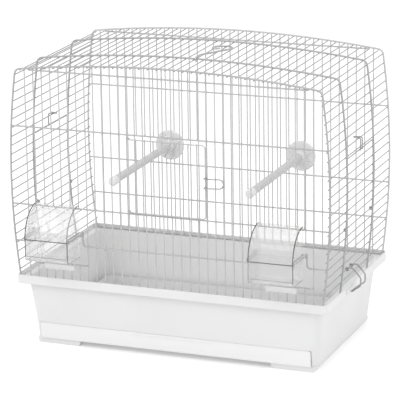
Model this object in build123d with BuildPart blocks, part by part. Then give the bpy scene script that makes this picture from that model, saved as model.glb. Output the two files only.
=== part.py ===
from build123d import *
import math
import os

# Bird cage: a barrel-sided wire body that stands on a plastic tray base with a drawer.
# Lengths in millimetres. X runs to the right, Y to the back and Z up from the floor.
# Heights of wires are given above the tray's rim and become heights above the floor by RIM_Z.
# The front and back panels are equally far from Y = 0 while the pieces are made.

# Wire diameters
HOOP_D = 2.4
BAR_D = 2.0
UPRIGHT_D = 1.6
RUN_D = 1.4
DOOR_D = 1.6
LATCH_D = 1.6
HOOK_D = 2.4
CLIP_D = 1.8

# Clearances: wires that are welded together, loops that turn on a wire, parts that rest
WELD = 0.02
EYE_PLAY = 0.25
SEAT = 0.3

# Wire body: hoops in four planes, with sides and roof that bulge
BODY_DEPTH = 242.0
RIB_SPAN = 108.0
SIDE_BULGE = 10.0
BULGE_Z = 128.0
CORNER_HALF = 200.0
CORNER_Z = 266.2
ARCH_RISE = 13.0
CORNER_R = 8.0
PITCH = 2 * CORNER_HALF / 35
UPRIGHT_PAIRS = 17
RUN_START = 0.75
RUN_TOP_GAP = 6.0
ROOF_OUTER = 3

# Heights of the welded bars above the rim
UPPER_BAR_Z = 193.7
MIDDLE_BAR_Z = 93.3
LOWER_BAR_Z = 45.3
FOOT_BAR_Z = -3.0
SILL_BAR_Z = 20.0

# Tray base
FOOT_H = 7.5
TRAY_H = 85.0
RIM_OUTSET = 6.5
RIM_PLAY = 0.9
RIM_CORNER_R = 6.8
RIM_BAND_H = 10.5
RIM_WALL = 1.8
LEDGE_DROP = 5.0
LEDGE_T = 2.5
LEDGE_SIDE = 9.5
LEDGE_FRONT = 6.5
TUB_DRAFT = 9.0
TUB_CORNER_R = 15.0
TUB_WALL = 2.5
TUB_FLOOR = 2.0
FOOT_LENGTH = 58.0
FOOT_INSET = 2.0
FOOT_EDGE_R = 5.0
CATCH_W = 35.0
CATCH_H = 5.7
CATCH_OUT = 1.0
CATCH_DROP = 2.0
CATCH_OFFSET = 8.5

# Drawer
DRAWER_H = 20.5
DRAWER_JAMB = 7.0
DRAWER_FRONT_T = 3.0
DRAWER_PROUD = 0.6
DRAWER_WALL = 2.0
DRAWER_GAP = 0.7
DRAWER_BACK_GAP = 3.0
DRAWER_CORNER_R = 8.0

# Front door
DOOR_HEAD_GAP = 5.4
DOOR_SILL_GAP = 2.4
DOOR_UPRIGHT_PAIRS = 4
DOOR_CORNER_R = 4.0
DOOR_STANDOFF = 0.55
DOOR_JOG = 25.0
LATCH_DROP = 0.8
LATCH_W = 11.8
LATCH_REACH = 22.6
EYE_SWEEP = 290.0

# Side doors, between the two ribs
SIDE_HINGE_RUN = 6
SIDE_TOP_RUN = 14
SIDE_DOOR_GAP = 0.4
THUMB_W = 7.0
THUMB_REACH = 14.0
THUMB_R = 2.4
THUMB_TIP_R = 1.3

# Hanging hook
HOOK_EYE_X = 15.0
HOOK_LEAD = 5.0
HOOK_BEND_R = 9.0
HOOK_BOW_X = 24.5
HOOK_BOW_Y = 12.0
HOOK_BOW_R = 12.5
HOOK_BOW_END = 205.0
HOOK_CURL_R = 4.5
HOOK_CURL = 150.0

# Side clips
CLIP_Y = -21.0
CLIP_SPAN = 18.0
CLIP_RUN = 1
CLIP_STANDOFF = 14.3
CLIP_KNEE = 12.0
CLIP_SHOULDER = 10.0
CLIP_HIP = 21.8
CLIP_BEND_R = 5.0
CLIP_CORNER_R = 3.0
CLIP_FOOT_GAP = 0.45

# Feeders
FEEDER_EDGE = 52.6
FEEDER_HALF = 28.8
FEEDER_REACH = 37.8
FEEDER_WALL = 1.5
CUP_BOTTOM_Z = 31.0
CUP_TOP_Z = 59.0
CUP_EDGE_R = 5.0
HOOD_TOP_Z = 98.0
FLANGE_H = 5.0
FLANGE_T = 1.4
PIN_R = 1.6
PIN_LENGTH = 6.0
STUB_GAP = 4.5
STUB_BEND_R = 4.0
TAB_W = 5.0
TAB_T = 1.4
SILL_W = 40.0
SILL_H = 7.0
SILL_T = 1.5

# Perches
PERCH_PITCHES = 8
PERCH_Z = 119.5
PERCH_D = 10.0
PERCH_LENGTH = 192.0
CAP_DEPTH = 9.0
CAP_WALL = 0.8
DISC_D = 40.0
DISC_T = 3.0
BOSS_D = 17.0
BOSS_H = 9.0
SCREW_D = 3.0
SCREW_HEAD_D = 7.0
SCREW_HEAD_H = 2.0
SCREW_GRIP = 14.0
WASHER_D = 24.0
WASHER_T = 2.0

# Places that follow from the sizes above
RIM_Z = FOOT_H + TRAY_H
LEDGE_Z = RIM_Z - LEDGE_DROP
HOOP_R = HOOP_D / 2
BAR_R = BAR_D / 2
UPRIGHT_R = UPRIGHT_D / 2
RUN_R = RUN_D / 2
DOOR_R = DOOR_D / 2
LATCH_R = LATCH_D / 2
HOOK_R = HOOK_D / 2
CLIP_R = CLIP_D / 2
PANEL_Y = BODY_DEPTH / 2
RIB_Y = RIB_SPAN / 2
UPRIGHT_Y = PANEL_Y - HOOP_R - UPRIGHT_R - WELD
BAR_Y = UPRIGHT_Y + UPRIGHT_R + BAR_R + WELD
WIRE_FOOT_Z = LEDGE_Z + SEAT
BULGE_HALF = CORNER_HALF + SIDE_BULGE
SIDE_R = ((CORNER_Z - BULGE_Z) ** 2 + SIDE_BULGE ** 2) / (2 * SIDE_BULGE)
SIDE_CX = BULGE_HALF - SIDE_R
ARCH_R = (CORNER_HALF ** 2 + ARCH_RISE ** 2) / (2 * ARCH_RISE)
ARCH_CZ = CORNER_Z + ARCH_RISE - ARCH_R
RUN_INSET = HOOP_R + RUN_R + WELD
RUN_COUNT = math.floor((CORNER_Z - RUN_TOP_GAP) / PITCH - RUN_START) + 1
RIM_HALF_X = CORNER_HALF + RIM_OUTSET
RIM_HALF_Y = BAR_Y + BAR_R + RIM_PLAY + RIM_WALL
TUB_TOP_HALF_X = RIM_HALF_X - LEDGE_SIDE
TUB_TOP_HALF_Y = RIM_HALF_Y - LEDGE_FRONT
TUB_LOW_HALF_X = TUB_TOP_HALF_X - TUB_DRAFT
TUB_LOW_HALF_Y = TUB_TOP_HALF_Y - TUB_DRAFT
DRAWER_HALF_X = TUB_LOW_HALF_X - DRAWER_JAMB
CLIP_REACH = RIM_HALF_X + CLIP_STANDOFF
DOOR_TOP_Z = UPPER_BAR_Z - DOOR_HEAD_GAP
DOOR_BOTTOM_Z = MIDDLE_BAR_Z + DOOR_SILL_GAP
LATCH_Z = (DOOR_TOP_Z + DOOR_BOTTOM_Z) / 2 - LATCH_DROP
FEEDER_X = CORNER_HALF - FEEDER_EDGE
STUB_OFFSET = FEEDER_HALF + STUB_GAP


def side_x(height, inset=0.0):
    """Half width of the wire body at a height above the rim, drawn in by an inset."""
    return SIDE_CX + math.sqrt((SIDE_R - inset) ** 2 - (height - BULGE_Z) ** 2)


def arch_z(across, inset=0.0):
    """Height of the arched roof above the rim at a distance from the middle."""
    return ARCH_CZ + math.sqrt((ARCH_R - inset) ** 2 - across ** 2)


def run_z(index):
    """Height above the rim of one of the side's front-to-back wires."""
    return (index + RUN_START) * PITCH


def corner_centre():
    """Centre of the small arc that joins a hoop's right side to its arched top."""
    from_side = SIDE_R - CORNER_R
    from_arch = ARCH_R - CORNER_R
    span = math.hypot(SIDE_CX, BULGE_Z - ARCH_CZ)
    along = (from_arch ** 2 - from_side ** 2 + span ** 2) / (2 * span)
    across = math.sqrt(from_arch ** 2 - along ** 2)
    ux = SIDE_CX / span
    uz = (BULGE_Z - ARCH_CZ) / span
    return max(
        (along * ux - across * uz, ARCH_CZ + along * uz + across * ux),
        (along * ux + across * uz, ARCH_CZ + along * uz - across * ux),
    )


def beyond(centre, through, radius):
    """The point at a radius from a centre, in the direction of another point."""
    reach = math.dist(centre, through)
    return tuple(c + (t - c) * radius / reach for c, t in zip(centre, through))


def save(piece, name):
    """Name a finished piece, move it onto the shared datum and write it out."""
    piece.part.label = name
    moved = piece.part.moved(Location((0, DATUM_Y, 0)))
    moved.label = name
    export_step(moved, f"parts/{name}.step")


def bent(edges, radius):
    """Sweep a round wire along edges given in order; the wire joins the piece in hand."""
    path = Wire(edges)
    with BuildSketch(Plane(origin=path @ 0, z_dir=path % 0)) as section:
        Circle(radius)
    sweep(sections=section.sketch, path=path)


def rod_x(radius, left, right, y, z):
    """A straight wire that runs across."""
    with Locations((left, y, z)):
        Cylinder(radius, right - left, rotation=(0, 90, 0), align=(Align.CENTER, Align.CENTER, Align.MIN))


def rod_y(radius, front, back, x, z):
    """A straight wire that runs from front to back."""
    with Locations((x, front, z)):
        Cylinder(radius, back - front, rotation=(-90, 0, 0), align=(Align.CENTER, Align.CENTER, Align.MIN))


def rod_z(radius, low, high, x, y):
    """A straight wire that stands upright."""
    with Locations((x, y, low)):
        Cylinder(radius, high - low, align=(Align.CENTER, Align.CENTER, Align.MIN))


FEEDER_BACK_Y = -(BAR_Y + BAR_R + SEAT)
FEEDER_FRONT_Y = FEEDER_BACK_Y - FEEDER_REACH
DATUM_Y = -(FEEDER_FRONT_Y + RIM_HALF_Y) / 2

os.makedirs("parts", exist_ok=True)


# Hoops: one bent wire each, open below, with both feet on the tray's ledge
CORNER = corner_centre()
SIDE_END = beyond((SIDE_CX, BULGE_Z), CORNER, SIDE_R)
ARCH_END = beyond((0, ARCH_CZ), CORNER, ARCH_R)
CORNER_MID = beyond(CORNER, (CORNER_HALF, CORNER_Z), CORNER_R)
HOOP_FOOT = (side_x(WIRE_FOOT_Z - RIM_Z), WIRE_FOOT_Z - RIM_Z)


def make_hoop(y):
    """One barrel-shaped hoop whose wire centre lies in the plane at y."""
    bulge = (BULGE_HALF, RIM_Z + BULGE_Z)
    foot, side_end, corner_mid, arch_end = (
        (x, RIM_Z + z) for x, z in (HOOP_FOOT, SIDE_END, CORNER_MID, ARCH_END)
    )
    with BuildLine(Plane.XZ.offset(-y)) as outline:
        ThreePointArc(foot, bulge, side_end)
        ThreePointArc(side_end, corner_mid, arch_end)
        ThreePointArc(arch_end, (0, RIM_Z + CORNER_Z + ARCH_RISE), (-arch_end[0], arch_end[1]))
        ThreePointArc((-arch_end[0], arch_end[1]), (-corner_mid[0], corner_mid[1]), (-side_end[0], side_end[1]))
        ThreePointArc((-side_end[0], side_end[1]), (-bulge[0], bulge[1]), (-foot[0], foot[1]))
    with BuildPart() as hoop:
        bent(outline.edges(), HOOP_R)
    return hoop


for hoop_name, hoop_y in (("front", -PANEL_Y), ("front_rib", -RIB_Y), ("rear_rib", RIB_Y), ("back", PANEL_Y)):
    save(make_hoop(hoop_y), f"{hoop_name}_hoop")


# Bars across the two flat panels, butted against the inside of their hoops
def bar_half(height):
    """Half length of a bar that fits inside a hoop at a height above the rim."""
    return min(side_x(height + step, HOOP_R + WELD) for step in (-BAR_R, BAR_R))


def full_bar(height, y):
    """A bar from one side of a hoop to the other."""
    half = bar_half(height)
    rod_x(BAR_R, -half, half, y, RIM_Z + height)


CHORD_HALF = math.sqrt((ARCH_R - HOOP_R - WELD) ** 2 - (CORNER_Z + BAR_R - ARCH_CZ) ** 2)
with BuildPart() as front_bars:
    rod_x(BAR_R, -CHORD_HALF, CHORD_HALF, -BAR_Y, RIM_Z + CORNER_Z)
    for bar_z in (UPPER_BAR_Z, MIDDLE_BAR_Z, FOOT_BAR_Z):
        full_bar(bar_z, -BAR_Y)
save(front_bars, "front_cross_bars")

with BuildPart() as back_bars:
    rod_x(BAR_R, -CHORD_HALF, CHORD_HALF, BAR_Y, RIM_Z + CORNER_Z)
    for bar_z in (UPPER_BAR_Z, MIDDLE_BAR_Z, LOWER_BAR_Z, FOOT_BAR_Z):
        full_bar(bar_z, BAR_Y)
save(back_bars, "back_cross_bars")

# The front's lower bar is broken by the feeders: its ends turn up into loops for their pins
PIN_EYE_R = PIN_R + EYE_PLAY + BAR_R
PIN_Y = -BAR_Y - PIN_EYE_R
PIN_Z = RIM_Z + CUP_TOP_Z + FLANGE_H / 2
LOWER_Z = RIM_Z + LOWER_BAR_Z


def stub_edges(start_x, stub_x):
    """A bar from start_x to stub_x, its rise to a feeder's pin and the loop there."""
    towards = math.copysign(1, stub_x - start_x)
    with BuildLine(Plane.XZ.offset(BAR_Y)) as rise:
        turn = (stub_x - towards * STUB_BEND_R, LOWER_Z)
        Line((start_x, LOWER_Z), turn)
        CenterArc(
            (turn[0], LOWER_Z + STUB_BEND_R),
            STUB_BEND_R,
            270,
            towards * 90,
        )
        Line((stub_x, LOWER_Z + STUB_BEND_R), (stub_x, PIN_Z))
    with BuildLine(Plane.YZ.offset(stub_x)) as curl:
        CenterArc((PIN_Y, PIN_Z), PIN_EYE_R, 0, EYE_SWEEP)
    return rise.edges() + curl.edges()


INNER_STUB_X = FEEDER_X - STUB_OFFSET
OUTER_STUB_X = FEEDER_X + STUB_OFFSET
with BuildPart() as feeder_bars:
    for sign in (-1, 1):
        bent(stub_edges(sign * bar_half(LOWER_BAR_Z), sign * OUTER_STUB_X), BAR_R)
        bent(stub_edges(0, sign * INNER_STUB_X), BAR_R)
        sill_half = (DOOR_UPRIGHT_PAIRS - 0.5) * PITCH + UPRIGHT_R
        sill_mid = sign * (UPRIGHT_PAIRS - DOOR_UPRIGHT_PAIRS) * PITCH
        rod_x(BAR_R, sill_mid - sill_half, sill_mid + sill_half, -BAR_Y, RIM_Z + SILL_BAR_Z)
save(feeder_bars, "feeder_bars")

# Uprights of the flat panels, on the inside of the bars
UPRIGHT_X = [(index + 0.5) * PITCH for index in range(-UPRIGHT_PAIRS, UPRIGHT_PAIRS)]
DOOR_OPENING_HALF = DOOR_UPRIGHT_PAIRS * PITCH
DOOR_UPRIGHT_X = [x for x in UPRIGHT_X if abs(x) < DOOR_OPENING_HALF]
UPRIGHT_LOW = RIM_Z + FOOT_BAR_Z - BAR_R
with BuildPart() as front_uprights:
    for x in UPRIGHT_X:
        top = RIM_Z + arch_z(x)
        if abs(x) < DOOR_OPENING_HALF:
            rod_z(UPRIGHT_R, UPRIGHT_LOW, RIM_Z + MIDDLE_BAR_Z + UPRIGHT_R, x, -UPRIGHT_Y)
            rod_z(UPRIGHT_R, RIM_Z + UPPER_BAR_Z - UPRIGHT_R, top, x, -UPRIGHT_Y)
        elif abs(abs(x) - FEEDER_X) < STUB_OFFSET:
            rod_z(UPRIGHT_R, UPRIGHT_LOW, RIM_Z + SILL_BAR_Z + UPRIGHT_R, x, -UPRIGHT_Y)
            rod_z(UPRIGHT_R, RIM_Z + MIDDLE_BAR_Z - UPRIGHT_R, top, x, -UPRIGHT_Y)
        else:
            rod_z(UPRIGHT_R, UPRIGHT_LOW, top, x, -UPRIGHT_Y)
save(front_uprights, "front_uprights")

with BuildPart() as back_uprights:
    for x in UPRIGHT_X:
        rod_z(UPRIGHT_R, UPRIGHT_LOW, RIM_Z + arch_z(x), x, UPRIGHT_Y)
save(back_uprights, "back_uprights")

# Roof wires under the hoops; the outermost ones stop between the panels' top bars
RUN_HALF = PANEL_Y + HOOP_R
SHORT_RUN_HALF = BAR_Y - BAR_R - WELD
with BuildPart() as roof_wires:
    for index in range(-UPRIGHT_PAIRS, UPRIGHT_PAIRS + 1):
        x = index * PITCH
        reach = SHORT_RUN_HALF if abs(index) > UPRIGHT_PAIRS - ROOF_OUTER else RUN_HALF
        rod_y(RUN_R, -reach, reach, x, RIM_Z + arch_z(x, RUN_INSET))
save(roof_wires, "roof_wires")


# Side wires inside the hoops, broken between the ribs by the door's opening
def make_side_wires(sign):
    """The front-to-back wires of one side; sign is 1 on the right and -1 on the left."""
    with BuildPart() as wires:
        for index in range(RUN_COUNT):
            x = sign * side_x(run_z(index), RUN_INSET)
            z = RIM_Z + run_z(index)
            if SIDE_HINGE_RUN < index < SIDE_TOP_RUN:
                rod_y(RUN_R, -RUN_HALF, HOOP_R - RIB_Y, x, z)
                rod_y(RUN_R, RIB_Y - HOOP_R, RUN_HALF, x, z)
            else:
                rod_y(RUN_R, -RUN_HALF, RUN_HALF, x, z)
    return wires


save(make_side_wires(1), "right_side_wires")
save(make_side_wires(-1), "left_side_wires")

# Front door frame: a bent wire whose two left ends loop round an upright
HINGE_X = -(DOOR_UPRIGHT_PAIRS + 0.5) * PITCH
HINGE_EYE_R = UPRIGHT_R + EYE_PLAY + DOOR_R
LATCH_EYE_R = DOOR_R + EYE_PLAY + LATCH_R
DOOR_Y = -UPRIGHT_Y - UPRIGHT_R - LATCH_EYE_R - LATCH_R - DOOR_STANDOFF
DOOR_RIGHT_X = -HINGE_X
jog_angle = math.radians(270 - DOOR_JOG)
jog_x = HINGE_X + HINGE_EYE_R * math.cos(jog_angle)
jog_y = -UPRIGHT_Y + HINGE_EYE_R * math.sin(jog_angle)
knee_x = jog_x + (jog_y - DOOR_Y) / math.tan(math.radians(DOOR_JOG))
door_eyes = []
for door_z in (RIM_Z + DOOR_TOP_Z, RIM_Z + DOOR_BOTTOM_Z):
    with BuildLine(Plane.XY.offset(door_z)) as door_eye:
        CenterArc((HINGE_X, -UPRIGHT_Y), HINGE_EYE_R, 270 - DOOR_JOG, -EYE_SWEEP)
        FilletPolyline((jog_x, jog_y), (knee_x, DOOR_Y), (knee_x + PITCH / 2, DOOR_Y), radius=DOOR_CORNER_R)
    door_eyes.append(door_eye.edges())
with BuildLine(Plane.XZ.offset(-DOOR_Y)) as door_outline:
    FilletPolyline(
        (knee_x + PITCH / 2, RIM_Z + DOOR_TOP_Z),
        (DOOR_RIGHT_X, RIM_Z + DOOR_TOP_Z),
        (DOOR_RIGHT_X, RIM_Z + DOOR_BOTTOM_Z),
        (knee_x + PITCH / 2, RIM_Z + DOOR_BOTTOM_Z),
        radius=DOOR_CORNER_R,
    )
with BuildPart() as front_door_frame:
    bent(door_eyes[0] + door_outline.edges() + door_eyes[1], DOOR_R)
save(front_door_frame, "front_door_frame")

DOOR_UPRIGHT_Y = DOOR_Y + DOOR_R + UPRIGHT_R + WELD
with BuildPart() as front_door_uprights:
    for x in DOOR_UPRIGHT_X:
        low = RIM_Z + DOOR_BOTTOM_Z - DOOR_R
        rod_z(UPRIGHT_R, low, RIM_Z + DOOR_TOP_Z + DOOR_R, x, DOOR_UPRIGHT_Y)
save(front_door_uprights, "front_door_uprights")

# Front latch: a hairpin that turns on the door's free edge and leans on the next upright
LATCH_TILT = math.degrees(math.atan2(-UPRIGHT_Y - DOOR_Y, 2 * PITCH))
LATCH_MID_Z = RIM_Z + LATCH_Z
latch_x_dir = (math.cos(math.radians(LATCH_TILT)), math.sin(math.radians(LATCH_TILT)), 0)
latch_normal = (math.sin(math.radians(LATCH_TILT)), -math.cos(math.radians(LATCH_TILT)), 0)
LATCH_PLANE = Plane(
    origin=(
        DOOR_RIGHT_X + LATCH_EYE_R * latch_normal[0],
        DOOR_Y + LATCH_EYE_R * latch_normal[1],
        LATCH_MID_Z,
    ),
    x_dir=latch_x_dir,
    z_dir=latch_normal,
)
latch_eyes = []
for eye_z in (LATCH_W / 2, -LATCH_W / 2):
    with BuildLine(Plane.XY.offset(LATCH_MID_Z + eye_z)) as latch_eye:
        CenterArc((DOOR_RIGHT_X, DOOR_Y), LATCH_EYE_R, 270 + LATCH_TILT, -EYE_SWEEP)
    latch_eyes.append(latch_eye.edges())
with BuildLine(LATCH_PLANE) as hairpin:
    tip_x = LATCH_REACH - LATCH_W / 2
    Line((0, LATCH_W / 2), (tip_x, LATCH_W / 2))
    CenterArc((tip_x, 0), LATCH_W / 2, 90, -180)
    Line((tip_x, -LATCH_W / 2), (0, -LATCH_W / 2))
with BuildPart() as front_door_latch:
    bent(latch_eyes[0] + hairpin.edges() + latch_eyes[1], LATCH_R)
save(front_door_latch, "front_door_latch")

# Side doors: bent uprights that loop round a side wire, a top wire and the door's own wires
SIDE_EYE_R = RUN_R + EYE_PLAY + DOOR_R
SIDE_FRAME_INSET = RUN_INSET - SIDE_EYE_R
SIDE_DOOR_HALF = RIB_Y - HOOP_R - SIDE_DOOR_GAP - DOOR_R
SIDE_DOOR_TOP = run_z(SIDE_TOP_RUN) - RUN_R - DOOR_R - SEAT
SIDE_HINGE_Z = run_z(SIDE_HINGE_RUN)
SIDE_HINGE_X = side_x(SIDE_HINGE_Z, RUN_INSET)
HINGE_ANGLE = math.degrees(math.atan2(SIDE_HINGE_Z - BULGE_Z, SIDE_HINGE_X - SIDE_CX))
TOP_ANGLE = math.degrees(math.asin((SIDE_DOOR_TOP - BULGE_Z) / (SIDE_R - SIDE_FRAME_INSET)))


def side_door_leg(sign, y):
    """One upright of a side door, from its loop round the hinge wire to the top."""
    start = HINGE_ANGLE if sign > 0 else 180 - HINGE_ANGLE
    end = TOP_ANGLE if sign > 0 else 180 - TOP_ANGLE
    with BuildLine(Plane.XZ.offset(-y)) as leg:
        CenterArc((sign * SIDE_HINGE_X, RIM_Z + SIDE_HINGE_Z), SIDE_EYE_R, start - sign * EYE_SWEEP, sign * EYE_SWEEP)
        CenterArc((sign * SIDE_CX, RIM_Z + BULGE_Z), SIDE_R - SIDE_FRAME_INSET, start, end - start)
    return leg.edges()


def make_side_door_frame(sign):
    """The frame of one side door, joined at its top corners."""
    top_x = sign * side_x(SIDE_DOOR_TOP, SIDE_FRAME_INSET)
    with BuildPart() as frame:
        for y in (-SIDE_DOOR_HALF, SIDE_DOOR_HALF):
            bent(side_door_leg(sign, y), DOOR_R)
            with Locations((top_x, y, RIM_Z + SIDE_DOOR_TOP)):
                Sphere(DOOR_R)
        rod_y(DOOR_R, -SIDE_DOOR_HALF, SIDE_DOOR_HALF, top_x, RIM_Z + SIDE_DOOR_TOP)
    return frame


def make_side_door_wires(sign):
    """The front-to-back wires of one side door, inside its frame."""
    inset = SIDE_FRAME_INSET + DOOR_R + RUN_R + WELD
    half = SIDE_DOOR_HALF + DOOR_R
    with BuildPart() as wires:
        for index in range(SIDE_HINGE_RUN + 1, SIDE_TOP_RUN):
            rod_y(RUN_R, -half, half, sign * side_x(run_z(index), inset), RIM_Z + run_z(index))
    return wires


def make_thumb_latch(sign):
    """A hairpin that rises from a side door, bends in over a side wire and comes to a point."""
    stem_x = side_x(SIDE_DOOR_TOP, SIDE_FRAME_INSET) + DOOR_R + LATCH_R + WELD
    low_z = RIM_Z + SIDE_DOOR_TOP - DOOR_R
    finger_z = RIM_Z + run_z(SIDE_TOP_RUN + 1) + RUN_R + LATCH_R + SEAT
    near = -THUMB_W / 2
    far = THUMB_W / 2
    with BuildPart() as latch:
        with BuildLine() as outline:
            FilletPolyline(
                (sign * stem_x, near, low_z),
                (sign * stem_x, near, finger_z),
                (sign * (stem_x - THUMB_REACH), 0, finger_z),
                (sign * stem_x, far, finger_z),
                (sign * stem_x, far, low_z),
                radius=(THUMB_R, THUMB_TIP_R, THUMB_R),
            )
        bent(outline.edges(), LATCH_R)
    return latch


for side_name, side_sign in (("right", 1), ("left", -1)):
    save(make_side_door_frame(side_sign), f"{side_name}_door_frame")
    save(make_side_door_wires(side_sign), f"{side_name}_door_wires")
    save(make_thumb_latch(side_sign), f"{side_name}_door_latch")

# Hanging hook: its loop turns on the front rib and its bow rests on the roof wires
HOOK_EYE_R = HOOP_R + EYE_PLAY + HOOK_R
HOOK_EYE_Z = RIM_Z + arch_z(HOOK_EYE_X)
HOOK_REST_Z = RIM_Z + arch_z(HOOK_BOW_X - HOOK_BOW_R, RUN_INSET) + RUN_R + HOOK_R + SEAT
HOOK_SPAN = RIB_Y + HOOK_BOW_Y + HOOK_BOW_R
HOOK_SLOPE = math.atan2(HOOK_EYE_Z + HOOK_EYE_R - HOOK_REST_Z, HOOK_SPAN)
hook_up = (0, math.sin(HOOK_SLOPE), math.cos(HOOK_SLOPE))
hook_along = (0, math.cos(HOOK_SLOPE), -math.sin(HOOK_SLOPE))
HOOK_PIVOT = (HOOK_EYE_X, -RIB_Y, HOOK_EYE_Z)
with BuildLine(Plane(origin=HOOK_PIVOT, x_dir=hook_along, z_dir=(1, 0, 0))) as hook_eye:
    CenterArc((0, 0), HOOK_EYE_R, 90 + EYE_SWEEP, -EYE_SWEEP)
bow = (HOOK_BOW_X - HOOK_EYE_X, RIB_Y + HOOK_BOW_Y)
knee = (0, HOOK_LEAD + HOOK_BEND_R)
bow_reach = math.dist(bow, knee)
bow_angle = math.atan2(bow[1] - knee[1], bow[0] - knee[0]) - math.asin(HOOK_BOW_R / bow_reach)
landing_angle = math.degrees(bow_angle) - 90
landing = (
    bow[0] + HOOK_BOW_R * math.cos(math.radians(landing_angle)),
    bow[1] + HOOK_BOW_R * math.sin(math.radians(landing_angle)),
)
bow_end = math.radians(HOOK_BOW_END)
curl_centre = (
    bow[0] + (HOOK_BOW_R - HOOK_CURL_R) * math.cos(bow_end),
    bow[1] + (HOOK_BOW_R - HOOK_CURL_R) * math.sin(bow_end),
)
hook_top = tuple(p + HOOK_EYE_R * n for p, n in zip(HOOK_PIVOT, hook_up))
with BuildLine(Plane(origin=hook_top, x_dir=(1, 0, 0), z_dir=hook_up)) as hook_shank:
    FilletPolyline((0, 0), knee, landing, radius=HOOK_BEND_R)
    CenterArc(bow, HOOK_BOW_R, landing_angle, HOOK_BOW_END - landing_angle)
    CenterArc(curl_centre, HOOK_CURL_R, HOOK_BOW_END, HOOK_CURL)
with BuildPart() as hanging_hook:
    bent(hook_eye.edges() + hook_shank.edges(), HOOK_R)
save(hanging_hook, "hanging_hook")

# Side clips: two bent arms that loop round a side wire, and a foot that snaps under a catch
CLIP_EYE_R = RUN_R + EYE_PLAY + CLIP_R
CLIP_PIVOT_Z = RIM_Z + run_z(CLIP_RUN)
CLIP_PIVOT_X = side_x(run_z(CLIP_RUN), RUN_INSET)
CATCH_BOTTOM_Z = RIM_Z - CATCH_DROP - CATCH_H
CLIP_FOOT_X = RIM_HALF_X + SEAT + CLIP_R
CLIP_FOOT_Z = CATCH_BOTTOM_Z - CLIP_FOOT_GAP - CLIP_R


def make_clip(sign):
    """The clip of one side, bent from one wire: loop, arm, foot, arm and loop."""
    out_x = CLIP_REACH - CLIP_R
    top_z = CLIP_PIVOT_Z + CLIP_EYE_R
    side_path = [
        (sign * CLIP_PIVOT_X, top_z),
        (sign * (out_x - CLIP_SHOULDER), top_z),
        (sign * out_x, top_z - CLIP_KNEE),
        (sign * out_x, top_z - CLIP_HIP),
        (sign * CLIP_FOOT_X, CLIP_FOOT_Z),
    ]
    near = CLIP_Y - CLIP_SPAN / 2
    far = CLIP_Y + CLIP_SPAN / 2
    loops = []
    for y in (near, far):
        with BuildLine(Plane.XZ.offset(-y)) as loop:
            CenterArc((sign * CLIP_PIVOT_X, CLIP_PIVOT_Z), CLIP_EYE_R, 90 + sign * EYE_SWEEP, -sign * EYE_SWEEP)
        loops.append(loop.edges())
    bends = [CLIP_BEND_R] * 3
    with BuildLine() as bail:
        FilletPolyline(
            *[(x, near, z) for x, z in side_path],
            *[(x, far, z) for x, z in reversed(side_path)],
            radius=bends + [CLIP_CORNER_R] * 2 + bends,
        )
    with BuildPart() as clip:
        bent(loops[0] + bail.edges() + loops[1], CLIP_R)
    return clip


save(make_clip(1), "right_clip")
save(make_clip(-1), "left_clip")


def plate(height, half_x, half_y, radius):
    """A level rounded rectangle at a height, with its middle on the axis."""
    with BuildSketch(Plane.XY.offset(height)) as sheet:
        RectangleRounded(2 * half_x, 2 * half_y, radius)
    return sheet.sketch


# Tray tub: drafted walls and a floor, with a ledge and an upstand that take the wires' feet
BAND_Z = RIM_Z - RIM_BAND_H
DRAWER_TOP_Z = FOOT_H + DRAWER_H
SLOT_HALF_X = DRAWER_HALF_X + DRAWER_GAP
CAVITY_Z = FOOT_H + TUB_FLOOR
INNER_RIM_R = RIM_CORNER_R - RIM_WALL
with BuildPart() as tray_tub:
    loft(
        sections=[
            plate(FOOT_H, TUB_LOW_HALF_X, TUB_LOW_HALF_Y, TUB_CORNER_R),
            plate(LEDGE_Z, TUB_TOP_HALF_X, TUB_TOP_HALF_Y, TUB_CORNER_R),
        ],
        ruled=True,
    )
    extrude(plate(LEDGE_Z - LEDGE_T, RIM_HALF_X, RIM_HALF_Y, RIM_CORNER_R), LEDGE_T)
    with BuildSketch(Plane.XY.offset(BAND_Z)):
        RectangleRounded(2 * RIM_HALF_X, 2 * RIM_HALF_Y, RIM_CORNER_R)
        RectangleRounded(
            2 * (RIM_HALF_X - RIM_WALL), 2 * (RIM_HALF_Y - RIM_WALL), INNER_RIM_R, mode=Mode.SUBTRACT
        )
    extrude(amount=RIM_BAND_H)
    loft(
        sections=[
            plate(CAVITY_Z, TUB_LOW_HALF_X - TUB_WALL, TUB_LOW_HALF_Y - TUB_WALL, TUB_CORNER_R - TUB_WALL),
            plate(LEDGE_Z, TUB_TOP_HALF_X - TUB_WALL, TUB_TOP_HALF_Y - TUB_WALL, TUB_CORNER_R - TUB_WALL),
        ],
        ruled=True,
        mode=Mode.SUBTRACT,
    )
    with Locations((0, TUB_WALL - TUB_LOW_HALF_Y, FOOT_H)):
        Box(
            2 * SLOT_HALF_X,
            TUB_DRAFT + TUB_WALL,
            DRAWER_H + DRAWER_GAP,
            align=(Align.CENTER, Align.MAX, Align.MIN),
            mode=Mode.SUBTRACT,
        )
    with Locations((0, TUB_CORNER_R - TUB_LOW_HALF_Y, CAVITY_Z)):
        Box(
            2 * SLOT_HALF_X,
            TUB_CORNER_R,
            FOOT_H + DRAWER_H + DRAWER_GAP - CAVITY_Z,
            align=(Align.CENTER, Align.MAX, Align.MIN),
            mode=Mode.SUBTRACT,
        )
    for sign in (-1, 1):
        with Locations((sign * RIM_HALF_X, CLIP_Y - CATCH_OFFSET, CATCH_BOTTOM_Z)):
            Box(2 * CATCH_OUT, CATCH_W, CATCH_H, align=(Align.CENTER, Align.CENTER, Align.MIN))
save(tray_tub, "tray_tub")

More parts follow.
